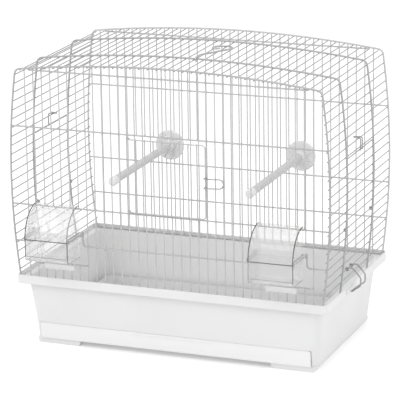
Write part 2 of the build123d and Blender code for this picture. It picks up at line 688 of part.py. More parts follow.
# Foot rails: one under each end of the tub, with rounded outer and inner lower edges
with BuildPart() as foot_rails:
    rail_x = TUB_LOW_HALF_X - FOOT_INSET - FOOT_LENGTH / 2
    rail_half_y = TUB_LOW_HALF_Y - FOOT_INSET
    for sign in (-1, 1):
        with BuildSketch(Plane.XZ.offset(-rail_half_y)):
            with BuildLine():
                FilletPolyline(
                    (sign * rail_x - FOOT_LENGTH / 2, FOOT_H),
                    (sign * rail_x - FOOT_LENGTH / 2, 0),
                    (sign * rail_x + FOOT_LENGTH / 2, 0),
                    (sign * rail_x + FOOT_LENGTH / 2, FOOT_H),
                    radius=FOOT_EDGE_R,
                )
                Line((sign * rail_x + FOOT_LENGTH / 2, FOOT_H), (sign * rail_x - FOOT_LENGTH / 2, FOOT_H))
            make_face()
        extrude(amount=2 * rail_half_y)
save(foot_rails, "foot_rails")

# Drawer: a shallow tray behind a front plate that closes the tub's slot
DRAFT_SLOPE = TUB_DRAFT / (LEDGE_Z - FOOT_H)


def tub_front(height):
    """Y of the tub's front face at a height above the floor."""
    return -TUB_LOW_HALF_Y - DRAFT_SLOPE * (height - FOOT_H)


TRAY_Z = CAVITY_Z + SEAT
TRAY_FRONT = TUB_WALL - TUB_LOW_HALF_Y
TRAY_BACK = TUB_LOW_HALF_Y - TUB_WALL - DRAWER_BACK_GAP
TRAY_HALF_X = DRAWER_HALF_X - DRAWER_WALL
with BuildPart() as drawer:
    for half_x, wall, low in ((TRAY_HALF_X, 0, TRAY_Z), (TRAY_HALF_X, DRAWER_WALL, TRAY_Z + DRAWER_WALL)):
        with BuildSketch(Plane.XY.offset(low)):
            with Locations((0, (TRAY_FRONT + TRAY_BACK) / 2)):
                RectangleRounded(
                    2 * (half_x - wall), TRAY_BACK - TRAY_FRONT - 2 * wall, DRAWER_CORNER_R - wall
                )
        extrude(amount=DRAWER_TOP_Z - low, mode=Mode.SUBTRACT if wall else Mode.ADD)
    with BuildSketch(Plane.YZ.offset(-DRAWER_HALF_X)):
        Polygon(
            (tub_front(FOOT_H) - DRAWER_PROUD, FOOT_H),
            (tub_front(DRAWER_TOP_Z) - DRAWER_PROUD, DRAWER_TOP_Z),
            (TRAY_FRONT + DRAWER_WALL, DRAWER_TOP_Z),
            (TRAY_FRONT + DRAWER_WALL, TRAY_Z),
            (TRAY_FRONT - SEAT, TRAY_Z),
            (TRAY_FRONT - SEAT, FOOT_H),
            align=None,
        )
    extrude(amount=2 * DRAWER_HALF_X)
save(drawer, "drawer")


# Feeders: a clear cup with side flanges and pins, under a clear curved hood
def make_cup(x):
    """The cup, its two flanges and the pins that it tilts on."""
    with BuildPart() as cup:
        for wall in (0, FEEDER_WALL):
            with BuildSketch(Plane.YZ.offset(x - FEEDER_HALF + wall)):
                with BuildLine():
                    back = FEEDER_BACK_Y - wall
                    front = FEEDER_FRONT_Y + wall
                    low = RIM_Z + CUP_BOTTOM_Z + wall
                    high = RIM_Z + CUP_TOP_Z + wall
                    FilletPolyline(
                        (back, high), (back, low), (front, low), (front, high), radius=CUP_EDGE_R - wall
                    )
                    Line((front, high), (back, high))
                make_face()
            extrude(amount=2 * (FEEDER_HALF - wall), mode=Mode.SUBTRACT if wall else Mode.ADD)
        for sign in (-1, 1):
            side = x + sign * FEEDER_HALF
            with BuildSketch(Plane.YZ.offset(side)):
                with BuildLine():
                    low = PIN_Z - FLANGE_H / 2
                    high = PIN_Z + FLANGE_H / 2
                    Polyline((PIN_Y, low), (FEEDER_FRONT_Y, low), (FEEDER_FRONT_Y, high), (PIN_Y, high))
                    ThreePointArc((PIN_Y, high), (PIN_Y + FLANGE_H / 2, PIN_Z), (PIN_Y, low))
                make_face()
            extrude(amount=sign * FLANGE_T)
            with BuildSketch(Plane.YZ.offset(side)):
                with BuildLine():
                    deep = PIN_Z - FLANGE_H
                    Polyline(
                        (PIN_Y, low), (FEEDER_FRONT_Y, low), (FEEDER_FRONT_Y, deep), (PIN_Y, deep), close=True
                    )
                make_face()
            extrude(amount=sign * FLANGE_T)
            with BuildSketch(Plane.YZ.offset(side)):
                with Locations((PIN_Y, PIN_Z)):
                    Circle(PIN_R)
            extrude(amount=sign * PIN_LENGTH)
    return cup


HOOD_BASE_Z = RIM_Z + CUP_TOP_Z + WELD
HOOD_RISE = RIM_Z + HOOD_TOP_Z - HOOD_BASE_Z


def make_hood(x):
    """The hood: a quarter-ellipse shell, open below and behind, with two tabs over the bar."""
    with BuildPart() as hood:
        for wall in (0, FEEDER_WALL):
            with BuildSketch(Plane.YZ.offset(x - FEEDER_HALF + wall)):
                with BuildLine():
                    front = FEEDER_FRONT_Y + wall
                    top = HOOD_BASE_Z + HOOD_RISE - wall
                    EllipticalCenterArc(
                        (FEEDER_BACK_Y, HOOD_BASE_Z),
                        FEEDER_REACH - wall,
                        HOOD_RISE - wall,
                        start_angle=90,
                        arc_size=90,
                    )
                    Polyline((front, HOOD_BASE_Z), (FEEDER_BACK_Y, HOOD_BASE_Z), (FEEDER_BACK_Y, top))
                make_face()
            extrude(amount=2 * (FEEDER_HALF - wall), mode=Mode.SUBTRACT if wall else Mode.ADD)
        for sign in (-1, 1):
            tab_x = x + sign * (FEEDER_HALF - TAB_W / 2)
            tab_z = RIM_Z + MIDDLE_BAR_Z + BAR_R + SEAT
            with Locations((tab_x, FEEDER_BACK_Y - FEEDER_WALL, tab_z)):
                Box(
                    TAB_W,
                    FEEDER_WALL + SEAT + BAR_D,
                    TAB_T,
                    align=(Align.CENTER, Align.MIN, Align.MIN),
                )
    return hood


for side_name, side_sign in (("right", 1), ("left", -1)):
    save(make_cup(side_sign * FEEDER_X), f"{side_name}_feeder_cup")
    save(make_hood(side_sign * FEEDER_X), f"{side_name}_feeder_hood")

# Sill strips: one under each feeder's opening, in front of the uprights
with BuildPart() as feeder_sills:
    sill_y = -(UPRIGHT_Y + UPRIGHT_R + WELD)
    sill_top = RIM_Z + SILL_BAR_Z - BAR_R - SEAT
    for sign in (-1, 1):
        with BuildSketch(Plane.XZ.offset(-sill_y)):
            with Locations((sign * FEEDER_X, sill_top - SILL_H / 2)):
                RectangleRounded(SILL_W, SILL_H, SILL_T)
        extrude(amount=SILL_T)
save(feeder_sills, "feeder_sills")

# Perches: dowels that stand out from the back panel, clamped by a disc, a washer and a screw
PERCH_X = PERCH_PITCHES * PITCH
DISC_BACK_Y = UPRIGHT_Y - UPRIGHT_R - WELD
DISC_FRONT_Y = DISC_BACK_Y - DISC_T
WASHER_Y = UPRIGHT_Y + UPRIGHT_R + WELD
HEAD_Y = WASHER_Y + WASHER_T + WELD
DOWEL_END_Y = DISC_FRONT_Y - PERCH_LENGTH
SHANK_END_Y = DISC_FRONT_Y - SCREW_GRIP
PERCH_R = PERCH_D / 2
SCREW_R = SCREW_D / 2


def turned(x, profile):
    """A round piece on a perch's axis from a closed profile of (y, radius) points."""
    with BuildSketch(Plane.YZ.offset(x)) as section:
        with BuildLine():
            Polyline(*[(y, RIM_Z + PERCH_Z + radius) for y, radius in profile], close=True)
        make_face()
    revolve(section.sketch, axis=Axis((x, 0, RIM_Z + PERCH_Z), (0, 1, 0)))


for side_name, side_sign in (("right", 1), ("left", -1)):
    with BuildPart() as perch:
        turned(
            side_sign * PERCH_X,
            [
                (DISC_FRONT_Y - WELD, SCREW_R),
                (DISC_FRONT_Y - WELD, PERCH_R),
                (DOWEL_END_Y, PERCH_R),
                (DOWEL_END_Y, 0),
                (SHANK_END_Y - WELD, 0),
                (SHANK_END_Y - WELD, SCREW_R),
            ],
        )
    save(perch, f"{side_name}_perch")

with BuildPart() as perch_flanges:
    for sign in (-1, 1):
        turned(
            sign * PERCH_X,
            [
                (DISC_BACK_Y, SCREW_R),
                (DISC_BACK_Y, DISC_D / 2),
                (DISC_BACK_Y - DISC_T / 2, DISC_D / 2),
                (DISC_FRONT_Y, DISC_D / 2 - DISC_T / 2),
                (DISC_FRONT_Y, BOSS_D / 2),
                (DISC_FRONT_Y - BOSS_H, BOSS_D / 2 - DISC_T / 2),
                (DISC_FRONT_Y - BOSS_H, PERCH_R + WELD),
                (DISC_FRONT_Y, PERCH_R + WELD),
                (DISC_FRONT_Y, SCREW_R),
            ],
        )
save(perch_flanges, "perch_flanges")

with BuildPart() as perch_caps:
    cap_r = PERCH_R + CAP_WALL + WELD
    for sign in (-1, 1):
        turned(
            sign * PERCH_X,
            [
                (DOWEL_END_Y - WELD, 0),
                (DOWEL_END_Y - WELD, PERCH_R + WELD),
                (DOWEL_END_Y + CAP_DEPTH, PERCH_R + WELD),
                (DOWEL_END_Y + CAP_DEPTH, cap_r),
                (DOWEL_END_Y, cap_r),
                (DOWEL_END_Y - 2 * CAP_WALL, cap_r - 2 * CAP_WALL),
                (DOWEL_END_Y - 2 * CAP_WALL, 0),
            ],
        )
save(perch_caps, "perch_caps")

with BuildPart() as perch_screws:
    for sign in (-1, 1):
        turned(
            sign * PERCH_X,
            [
                (HEAD_Y + SCREW_HEAD_H, 0),
                (HEAD_Y + SCREW_HEAD_H, SCREW_HEAD_D / 2 - SCREW_HEAD_H / 2),
                (HEAD_Y + SCREW_HEAD_H / 2, SCREW_HEAD_D / 2),
                (HEAD_Y, SCREW_HEAD_D / 2),
                (HEAD_Y, SCREW_R - WELD),
                (SHANK_END_Y, SCREW_R - WELD),
                (SHANK_END_Y, 0),
            ],
        )
save(perch_screws, "perch_screws")

with BuildPart() as perch_washers:
    for sign in (-1, 1):
        turned(
            sign * PERCH_X,
            [
                (WASHER_Y, SCREW_R),
                (WASHER_Y, WASHER_D / 2),
                (WASHER_Y + WASHER_T, WASHER_D / 2 - WASHER_T / 2),
                (WASHER_Y + WASHER_T, SCREW_R),
            ],
        )
save(perch_washers, "perch_washers")
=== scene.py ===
import math

import bmesh
import bpy
from mathutils import Matrix, Vector


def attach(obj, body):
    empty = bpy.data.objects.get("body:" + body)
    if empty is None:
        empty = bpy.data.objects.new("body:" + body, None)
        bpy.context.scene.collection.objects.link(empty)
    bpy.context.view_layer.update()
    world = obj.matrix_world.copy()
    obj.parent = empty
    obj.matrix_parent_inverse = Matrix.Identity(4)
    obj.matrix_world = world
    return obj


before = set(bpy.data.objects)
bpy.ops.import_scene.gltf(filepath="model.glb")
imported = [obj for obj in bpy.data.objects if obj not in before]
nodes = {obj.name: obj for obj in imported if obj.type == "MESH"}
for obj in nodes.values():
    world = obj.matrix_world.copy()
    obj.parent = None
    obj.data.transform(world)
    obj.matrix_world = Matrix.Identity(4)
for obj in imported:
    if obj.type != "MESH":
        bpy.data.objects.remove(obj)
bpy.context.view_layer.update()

# Sizes of the CAD model that the added pieces are set against, in millimetres. Heights are
# above the rim, and depths are from the middle between the front and back panels.
RIM_Z = 92.5
DATUM_Y = 17.7
PITCH = 400 / 35
CORNER_HALF = 200.0
CORNER_Z = 266.2
BULGE = 10.0
BULGE_Z = 128.0
BODY_HALF = CORNER_HALF + BULGE
SIDE_R = ((CORNER_Z - BULGE_Z) ** 2 + BULGE**2) / (2 * BULGE)
SIDE_CX = BODY_HALF - SIDE_R
ROOF_RISE = 13.0
ARCH_R = (CORNER_HALF**2 + ROOF_RISE**2) / (2 * ROOF_RISE)
ARCH_CZ = CORNER_Z + ROOF_RISE - ARCH_R
PANEL_Y = 121.0
RIB_Y = 54.0
HOOP_Y = (-PANEL_Y, -RIB_Y, RIB_Y, PANEL_Y)
SIDE_ROWS = 23
UPRIGHT_COUNT = 34
UPRIGHT_X = [(k + 0.5) * PITCH for k in range(-UPRIGHT_COUNT // 2, UPRIGHT_COUNT // 2)]
FEEDER_BAR_Z = 45.3
BAR_Z = (193.7, 93.3, FEEDER_BAR_Z, -3.0)
FEEDER_X = 147.4
DOOR_HALF = 4 * PITCH
DOOR_BAR_Z = (188.3, 95.7)
PERCH_X = 8 * PITCH
PERCH_Z = 119.5
PLATE_BACK_Y = -104.0
PLATE_FRONT_Y = -109.0
PLATE_FOOT_Z = -85.0
PLATE_LEAN = 9.0 / 80.0


def at(x, y, z):
    """A point of the cage in metres, in the frame of the CAD."""
    return Vector((x, y + DATUM_Y, z + RIM_Z)) / 1000


def side_x(height, inset):
    """Half width of the wire body at a height above the rim, and within it by an inset."""
    return SIDE_CX + math.sqrt((SIDE_R - inset) ** 2 - (height - BULGE_Z) ** 2)


def arch_z(across, inset):
    """Height of the roof above the rim, and within it by an inset."""
    return ARCH_CZ + math.sqrt((ARCH_R - inset) ** 2 - across**2)


def plate_y(height, reach):
    """Depth of the drawer's leaning front at a height, and in front of it by a reach."""
    return PLATE_FRONT_Y - PLATE_LEAN * (height - PLATE_FOOT_Z) - reach


# Materials
def new_material(name):
    """A node material, returned with its node tree and its shader."""
    mat = bpy.data.materials.new(name)
    mat.use_nodes = True
    tree = mat.node_tree
    shader = tree.nodes["Principled BSDF"]
    return mat, tree, shader


def noise(tree, scale, detail=3, rough=0.5, stretch=None):
    """Object-space noise, stretched along an axis where asked."""
    coords = tree.nodes.new("ShaderNodeTexCoord")
    source = coords.outputs["Object"]
    if stretch:
        mapping = tree.nodes.new("ShaderNodeMapping")
        mapping.inputs["Scale"].default_value = stretch
        tree.links.new(source, mapping.inputs["Vector"])
        source = mapping.outputs["Vector"]
    tex = tree.nodes.new("ShaderNodeTexNoise")
    tex.inputs["Scale"].default_value = scale
    tex.inputs["Detail"].default_value = detail
    tex.inputs["Roughness"].default_value = rough
    tree.links.new(source, tex.inputs["Vector"])
    return tex.outputs["Fac"]


def ramp(tree, fac, stops):
    """A grey that follows a factor through stops of place and level."""
    node = tree.nodes.new("ShaderNodeValToRGB")
    while len(node.color_ramp.elements) < len(stops):
        node.color_ramp.elements.new(0.5)
    for element, (place, level) in zip(node.color_ramp.elements, stops):
        element.position = place
        element.color = (level, level, level, 1)
    tree.links.new(fac, node.inputs["Fac"])
    return node.outputs["Color"]


def vary(tree, shader, socket, fac, low, high, start=0.3, end=0.7):
    """Let a socket of the shader vary with a noise between two levels."""
    tree.links.new(ramp(tree, fac, [(start, low), (end, high)]), shader.inputs[socket])


def bump(tree, shader, fac, strength, distance=0.0002, base=None):
    """Bump from a factor, chained onto another normal where given."""
    node = tree.nodes.new("ShaderNodeBump")
    node.inputs["Strength"].default_value = strength
    node.inputs["Distance"].default_value = distance
    tree.links.new(fac, node.inputs["Height"])
    if base:
        tree.links.new(base, node.inputs["Normal"])
    tree.links.new(node.outputs["Normal"], shader.inputs["Normal"])


def rounded(tree, radius):
    """A normal that rounds off edges by a radius in metres."""
    node = tree.nodes.new("ShaderNodeBevel")
    node.samples = 4
    node.inputs["Radius"].default_value = radius
    return node.outputs["Normal"]


def coated_wire(name, low, high):
    """Powder-coated wire: faint mottling and orange peel."""
    mat, tree, shader = new_material(name)
    vary(tree, shader, "Base Color", noise(tree, 60, detail=4), low, high)
    vary(tree, shader, "Roughness", noise(tree, 400, detail=2), 0.32, 0.46)
    bump(tree, shader, noise(tree, 1800, detail=2), 0.12)
    return mat


def zinc_wire(name, dull, bright):
    """Zinc-plated spring wire: metallic and a little tarnished."""
    mat, tree, shader = new_material(name)
    shader.inputs["Metallic"].default_value = 1.0
    tarnish = noise(tree, 120, detail=5, rough=0.6)
    vary(tree, shader, "Base Color", tarnish, dull, bright, start=0.25, end=0.75)
    vary(tree, shader, "Roughness", noise(tree, 300), 0.26, 0.4)
    bump(tree, shader, noise(tree, 900), 0.15)
    return mat


def moulded(name, low, high, rough=(0.28, 0.38), grain=0.06, edge=0.0009):
    """Moulded white plastic: soft cloudiness, a fine grain and rounded edges."""
    mat, tree, shader = new_material(name)
    shader.inputs["IOR"].default_value = 1.49
    shader.inputs["Subsurface Weight"].default_value = 0.05
    shader.inputs["Subsurface Radius"].default_value = (0.004, 0.004, 0.004)
    vary(tree, shader, "Base Color", noise(tree, 9), low, high)
    vary(tree, shader, "Roughness", noise(tree, 45), *rough)
    bump(tree, shader, noise(tree, 900, detail=2), grain, base=rounded(tree, edge))
    return mat


def painted_shade_behind(mat, node, depth, shade_factor, blend=0.004):
    """Paint shade onto a moulding: darken it by a factor behind a depth of the cage,
    measured on one node.
    """
    tree = mat.node_tree
    shader = tree.nodes["Principled BSDF"]
    colour = shader.inputs["Base Color"].links[0].from_socket
    edge = (node.matrix_world.inverted() @ at(0, depth, 0)).y
    coords = tree.nodes.new("ShaderNodeTexCoord")
    split = tree.nodes.new("ShaderNodeSeparateXYZ")
    tree.links.new(coords.outputs["Object"], split.inputs["Vector"])
    behind = tree.nodes.new("ShaderNodeMapRange")
    behind.inputs["From Min"].default_value = edge
    behind.inputs["From Max"].default_value = edge + blend
    behind.inputs["To Min"].default_value = 1.0
    behind.inputs["To Max"].default_value = shade_factor
    tree.links.new(split.outputs["Y"], behind.inputs["Value"])
    dim = tree.nodes.new("ShaderNodeVectorMath")
    dim.operation = "SCALE"
    tree.links.new(colour, dim.inputs[0])
    tree.links.new(behind.outputs["Result"], dim.inputs["Scale"])
    tree.links.new(dim.outputs["Vector"], shader.inputs["Base Color"])


# How far a clear face is turned from the viewer, where each of its densities holds
FACING_STOPS = (0.05, 0.35, 0.7, 0.97)


def clear_plastic(name, density, haze, tint):
    """Clear polystyrene: faintly streaked, its density given from face on to edge on."""
    mat, tree, shader = new_material(name)
    shader.inputs["Transmission Weight"].default_value = haze
    shader.inputs["IOR"].default_value = 1.25
    facing = tree.nodes.new("ShaderNodeLayerWeight")
    facing.inputs["Blend"].default_value = 0.5
    stops = list(zip(FACING_STOPS, density))
    tree.links.new(ramp(tree, facing.outputs["Facing"], stops), shader.inputs["Alpha"])
    flow = noise(tree, 26, stretch=(1, 1, 2.5))
    vary(tree, shader, "Base Color", flow, tint - 0.03, tint)
    gloss = noise(tree, 30, stretch=(1, 1, 3))
    vary(tree, shader, "Roughness", gloss, 0.03, 0.09, start=0.35)
    bump(tree, shader, noise(tree, 70, detail=2), 0.05, distance=0.0003)
    return mat


HOOP_PAINT = coated_wire("hoop_paint", 0.44, 0.5)
WIRE_PAINT = coated_wire("wire_paint", 0.56, 0.62)
BAR_PAINT = coated_wire("bar_paint", 0.47, 0.53)
FINE_PAINT = coated_wire("fine_wire_paint", 0.38, 0.44)
# Painted light: the back panel's wires get the same coat set paler, for the light that
# falls on them from behind.
REAR_LIT_PAINT = coated_wire("rear_lit_paint", 0.6, 0.66)
DOOR_PAINT = coated_wire("door_paint", 0.52, 0.58)
ZINC = zinc_wire("zinc", 0.26, 0.46)
HOOK_ZINC = zinc_wire("hook_zinc", 0.4, 0.58)
TUB_PLASTIC = moulded("tub_plastic", 0.84, 0.87)
# Painted light and shade: the drawer's plastic is set paler than the tub's for the light on
# its front, and its tray is painted darker behind the front, where shade falls inside it.
DRAWER_LIT_AND_SHADED = moulded("drawer_lit_and_shaded_plastic", 0.93, 0.95, (0.36, 0.4), grain=0.04, edge=0.0004)
painted_shade_behind(DRAWER_LIT_AND_SHADED, nodes["drawer"], PLATE_BACK_Y, shade_factor=0.84)
TRIM_PLASTIC = moulded("trim_plastic", 0.8, 0.86, (0.3, 0.4), grain=0.05, edge=0.0005)
PERCH_PLASTIC = moulded("perch_plastic", 0.6, 0.68, (0.42, 0.52), grain=0.12, edge=0.0004)
CAP_PLASTIC = moulded("cap_plastic", 0.86, 0.9, (0.3, 0.4), grain=0.05, edge=0.0004)
CUP_CLEAR = clear_plastic("cup_clear", (0.36, 0.36, 0.42, 0.6), haze=0.6, tint=0.88)
HOOD_CLEAR = clear_plastic("hood_clear", (0.5, 0.42, 0.24, 0.4), haze=0.6, tint=0.84)
# Painted shade: dark, dense clear plastic for the feeders' edge lines, where the clear
# edges look dark.
CLEAR_EDGE_SHADE = clear_plastic("clear_edge_shade", (0.75, 0.75, 0.8, 0.85), haze=0.2, tint=0.2)
CLEAR_LINE_SHADE = clear_plastic("clear_line_shade", (0.5, 0.5, 0.6, 0.7), haze=0.3, tint=0.34)

PAINTED = {
    HOOP_PAINT: ["front_hoop", "front_rib_hoop", "rear_rib_hoop"],
    WIRE_PAINT: ["front_uprights"],
    REAR_LIT_PAINT: ["back_hoop", "back_uprights", "back_cross_bars"],
    BAR_PAINT: ["front_cross_bars", "feeder_bars"],
    FINE_PAINT: [
        "roof_wires",
        "left_side_wires",
        "right_side_wires",
        "right_door_frame",
        "right_door_wires",
        "left_door_frame",
        "left_door_wires",
    ],
    DOOR_PAINT: ["front_door_frame", "front_door_uprights"],
    ZINC: [
        "front_door_latch",
        "right_door_latch",
        "left_door_latch",
        "right_clip",
        "left_clip",
        "perch_screws",
    ],
    HOOK_ZINC: ["hanging_hook"],
    TUB_PLASTIC: ["tray_tub", "foot_rails"],
    DRAWER_LIT_AND_SHADED: ["drawer"],
    TRIM_PLASTIC: ["feeder_sills", "perch_flanges", "perch_washers"],
    PERCH_PLASTIC: ["right_perch", "left_perch"],
    CAP_PLASTIC: ["perch_caps"],
    CUP_CLEAR: ["right_feeder_cup", "left_feeder_cup"],
    HOOD_CLEAR: ["right_feeder_hood", "left_feeder_hood"],
}
for material, names in PAINTED.items():
    for name in names:
        for slot in nodes[name].material_slots:
            slot.material = material


# Mesh helpers
def finish_piece(bm, name, material, body):
    """Turn a bmesh into a smooth piece that rides on a body."""
    mesh = bpy.data.meshes.new(name)
    bm.to_mesh(mesh)
    bm.free()
    for polygon in mesh.polygons:
        polygon.use_smooth = True
    mesh.materials.append(material)
    piece = bpy.data.objects.new(name, mesh)
    bpy.context.scene.collection.objects.link(piece)
    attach(piece, body)


def bead(bm, centre, half_size):
    """A small squashed ball. Its centre is in metres and its half size in millimetres."""
    scale = Vector(half_size) / 1000
    matrix = Matrix.Translation(centre) @ Matrix.Diagonal((*scale, 1))
    bmesh.ops.create_icosphere(bm, subdivisions=1, radius=1, matrix=matrix)


def tube(bm, points, radius, sides=6, closed=False):
    """A round tube along points in metres, with capped ends. Its radius is in metres."""
    rings = []
    count = len(points)
    normal = None
    for index, point in enumerate(points):
        before = points[index - 1] if index or closed else point
        after = points[(index + 1) % count] if index < count - 1 or closed else point
        along = (after - before).normalized()
        if normal is None:
            normal = along.orthogonal().normalized()
        normal = (normal - along * normal.dot(along)).normalized()
        across = along.cross(normal)
        ring = []
        for step in range(sides):
            angle = 2 * math.pi * step / sides
            spoke = math.cos(angle) * normal + math.sin(angle) * across
            ring.append(bm.verts.new(point + radius * spoke))
        rings.append(ring)
    pairs = list(zip(rings, rings[1:]))
    if closed:
        pairs.append((rings[-1], rings[0]))
    for low, high in pairs:
        for step in range(sides):
            following = (step + 1) % sides
            bm.faces.new((low[step], low[following], high[following], high[step]))
    if not closed:
        bm.faces.new(rings[0][::-1])
        bm.faces.new(rings[-1])


# Weld beads where bars cross uprights, and where thin wires cross hoops. Each bead has its
# half size in millimetres.
BAR_BEAD = (0.75, 0.4, 0.75)
HOOP_BEAD = (0.5, 0.9, 0.5)
DOOR_BEAD = (0.7, 0.35, 0.7)
BAR_BEAD_Y = 119.79
DOOR_BEAD_Y = -122.17
HOOP_INSET = 1.2
FIRST_ROW = 0.75
ROOF_HALF_COUNT = 14
FEEDER_CLEAR = 33.0


def weld_beads():
    """All the small welds of the fixed wires, in one mesh."""
    bm = bmesh.new()
    for x in UPRIGHT_X:
        for z in BAR_Z:
            bead(bm, at(x, BAR_BEAD_Y, z), BAR_BEAD)
            in_feeder = abs(abs(x) - FEEDER_X) < FEEDER_CLEAR and z == FEEDER_BAR_Z
            if not in_feeder:
                bead(bm, at(x, -BAR_BEAD_Y, z), BAR_BEAD)
    for row in range(SIDE_ROWS):
        z = (row + FIRST_ROW) * PITCH
        x = side_x(z, HOOP_INSET)
        for sign in (-1, 1):
            for y in HOOP_Y:
                bead(bm, at(sign * x, y, z), HOOP_BEAD)
    for k in range(-ROOF_HALF_COUNT, ROOF_HALF_COUNT + 1):
        x = k * PITCH
        for y in HOOP_Y:
            bead(bm, at(x, y, arch_z(x, HOOP_INSET)), HOOP_BEAD)
    finish_piece(bm, "weld_beads", WIRE_PAINT, "cage")


def door_welds():
    """The welds of the front door's own uprights."""
    bm = bmesh.new()
    for x in UPRIGHT_X:
        if abs(x) < DOOR_HALF:
            for z in DOOR_BAR_Z:
                bead(bm, at(x, DOOR_BEAD_Y, z), DOOR_BEAD)
    finish_piece(bm, "front_door_welds", DOOR_PAINT, "front_door")


weld_beads()
door_welds()

# Perch flanges: ribs that run from the socket to the rim of each disc, along places given
# by their radius and depth
RIB_COUNT = 8
RIB_PATH = ((7.6, 109.5), (9.5, 112.4), (13.0, 114.3), (17.6, 115.0))
RIB_RADIUS = 0.0007


def flange_ribs():
    """Small ribs all round each disc."""
    bm = bmesh.new()
    for sign in (-1, 1):
        for step in range(RIB_COUNT):
            angle = 2 * math.pi * (step + 0.5) / RIB_COUNT
            points = []
            for radius, depth in RIB_PATH:
                x = sign * PERCH_X + radius * math.cos(angle)
                z = PERCH_Z + radius * math.sin(angle)
                points.append(at(x, depth, z))
            tube(bm, points, RIB_RADIUS)
    finish_piece(bm, "perch_flange_ribs", TRIM_PLASTIC, "cage")


flange_ribs()

# Tray: a rolled edge along the top of its rim
LIP_HALF_X = 205.6
LIP_HALF_Y = 123.6
LIP_CORNER = 5.9
LIP_Z = -0.15
LIP_RADIUS = 0.00095
LIP_CORNER_STEPS = 6


def rim_lip():
    """The rolled top edge of the tray's rim, a level rounded rectangle."""
    points = []
    for quarter, (sx, sy) in enumerate(((1, 1), (-1, 1), (-1, -1), (1, -1))):
        for step in range(LIP_CORNER_STEPS + 1):
            angle = math.pi / 2 * (quarter + step / LIP_CORNER_STEPS)
            x = sx * (LIP_HALF_X - LIP_CORNER) + LIP_CORNER * math.cos(angle)
            y = sy * (LIP_HALF_Y - LIP_CORNER) + LIP_CORNER * math.sin(angle)
            points.append(at(x, y, LIP_Z))
    bm = bmesh.new()
    tube(bm, points, LIP_RADIUS, sides=10, closed=True)
    finish_piece(bm, "tray_rim_lip", TUB_PLASTIC, "cage")


rim_lip()

# Drawer: a soft edge round its front, over its gap, and a finger lip given by places along
# the front and how far each is sunk
GRIP_Z = -66.4
GRIP_REACH = 0.9
GRIP_RUN = ((-62, 1.6), (-58, 0.5), (-50, 0), (50, 0), (58, 0.5), (62, 1.6))
GRIP_RADIUS = 0.0008
GAP_HALF_X = 181.35
GAP_LOW_Z = -84.2
GAP_TOP_Z = -64.15
GAP_REACH = 0.55
GAP_CORNER = 1.5
GAP_RADIUS = 0.00048


def drawer_trim():
    """The soft edge and the finger lip, in one mesh."""
    bm = bmesh.new()
    grip_y = plate_y(GRIP_Z, GRIP_REACH)
    tube(bm, [at(x, grip_y + sink, GRIP_Z) for x, sink in GRIP_RUN], GRIP_RADIUS, sides=8)
    low_y = plate_y(GAP_LOW_Z, GAP_REACH)
    top_y = plate_y(GAP_TOP_Z, GAP_REACH)
    cut = GAP_CORNER * 0.3
    half = [
        (GAP_HALF_X, low_y, GAP_LOW_Z),
        (GAP_HALF_X, top_y, GAP_TOP_Z - GAP_CORNER),
        (GAP_HALF_X - cut, top_y, GAP_TOP_Z - cut),
        (GAP_HALF_X - GAP_CORNER, top_y, GAP_TOP_Z),
    ]
    edge = [at(-x, y, z) for x, y, z in half]
    edge.append(at(0, top_y, GAP_TOP_Z))
    edge.extend(at(x, y, z) for x, y, z in reversed(half))
    tube(bm, edge, GAP_RADIUS, sides=8)
    finish_piece(bm, "drawer_front_edges", DRAWER_LIT_AND_SHADED, "drawer")


drawer_trim()

# Feeders: lines along the moulded edges of the cup and hood, in dark plastic: painted shade
# where the clear edges look dark
FEEDER_HALF = 28.4
FEEDER_BACK_Y = -122.4
FEEDER_FRONT_Y = -159.4
HOOD_REACH = 37.2
HOOD_RISE = 38.2
HOOD_STEPS = 12
RAIL_LOW_Z = 59.4
RAIL_HIGH_Z = 63.6
RAIL_SPREAD = 1.045
RAIL_RUN_IN = 3.0
NOSE_Z = 59.2
NOSE_REACH = 0.2
UPRIGHT_Z = (58.6, 48.0)
FOOT_Z = 36.4
FOOT_BEND = 5.0
FOOT_STEPS = 6
FOOT_REACH = 0.4
CUP_LINE_HALF = 27.0
CUP_LINE_INSET = 0.4
CUP_LINE_Z = 37.6
HOOD_EDGE_RADIUS = 0.0008
CUP_EDGE_RADIUS = 0.0007
FOOT_EDGE_RADIUS = 0.0006
THIN_EDGE_RADIUS = 0.0005


def feeder_side(heavy, fine, sign, offset):
    """The painted-shade edge lines on one side of a feeder, shared out between heavy and
    fine lines.
    """
    inner = sign * offset < 0
    x = sign * FEEDER_X + offset
    arc = []
    for step in range(HOOD_STEPS + 1):
        angle = math.pi / 2 * step / HOOD_STEPS
        depth = FEEDER_BACK_Y - HOOD_REACH * math.cos(angle)
        arc.append(at(x, depth, RAIL_LOW_Z + HOOD_RISE * math.sin(angle)))
    tube(fine if inner and sign < 0 else heavy, arc, HOOD_EDGE_RADIUS)
    upright = [at(x, FEEDER_FRONT_Y, z) for z in (*UPRIGHT_Z, FOOT_Z)]
    tube(fine if inner and sign > 0 else heavy, upright, CUP_EDGE_RADIUS)
    foot = []
    for step in range(FOOT_STEPS + 1):
        angle = math.pi / 2 * step / FOOT_STEPS
        depth = FEEDER_FRONT_Y + FOOT_BEND - FOOT_BEND * math.cos(angle)
        foot.append(at(x, depth, FOOT_Z - FOOT_BEND * math.sin(angle)))
    foot.append(at(x, FEEDER_BACK_Y - FOOT_REACH, FOOT_Z - FOOT_BEND))
    tube(fine, foot, FOOT_EDGE_RADIUS)
    rail_x = sign * FEEDER_X + offset * RAIL_SPREAD
    for lines, z in ((heavy, RAIL_LOW_Z), (fine, RAIL_HIGH_Z)):
        rail = [
            at(rail_x, FEEDER_FRONT_Y, NOSE_Z),
            at(rail_x, FEEDER_FRONT_Y + RAIL_RUN_IN, z),
            at(rail_x, FEEDER_BACK_Y, z),
        ]
        tube(lines, rail, THIN_EDGE_RADIUS)


